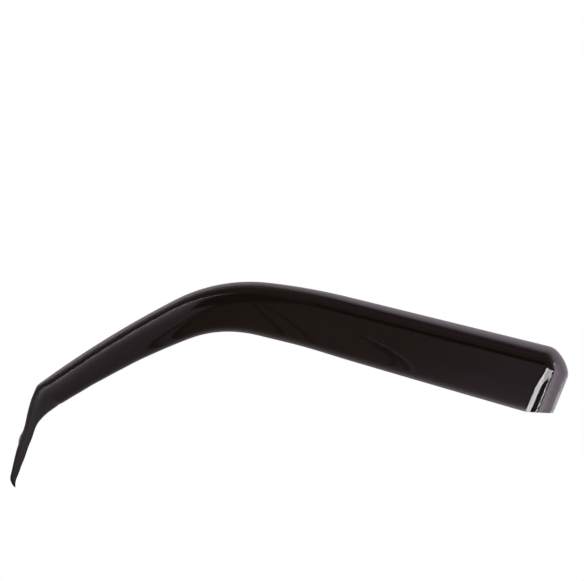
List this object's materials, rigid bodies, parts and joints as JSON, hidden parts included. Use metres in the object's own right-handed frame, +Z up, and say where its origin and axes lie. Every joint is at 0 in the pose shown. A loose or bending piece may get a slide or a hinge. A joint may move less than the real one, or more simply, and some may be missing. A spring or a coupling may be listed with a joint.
{
  "type": "side window wind deflector",
  "caption": "In-channel wind deflector for a left front side window: one moulded sheet of smoked acrylic with a flange, a stepped crowned visor and a narrow tongue.",
  "frame": {"origin": "on the glass side of the flange, in the middle of the straight roof run and halfway down the flange there", "axes": "+Z up, +X along the roof run to the rear of the car, -Y outwards from the car; +Y is the normal of the flange's glass side"},
  "size_m": [0.7533, 0.0526, 0.3868],
  "materials": {
    "smoked_acrylic": "glossy, dark smoke tint, see-through"
  },
  "bodies": {
    "root": {"deflector": "smoked_acrylic"}
  },
  "joints": []
}
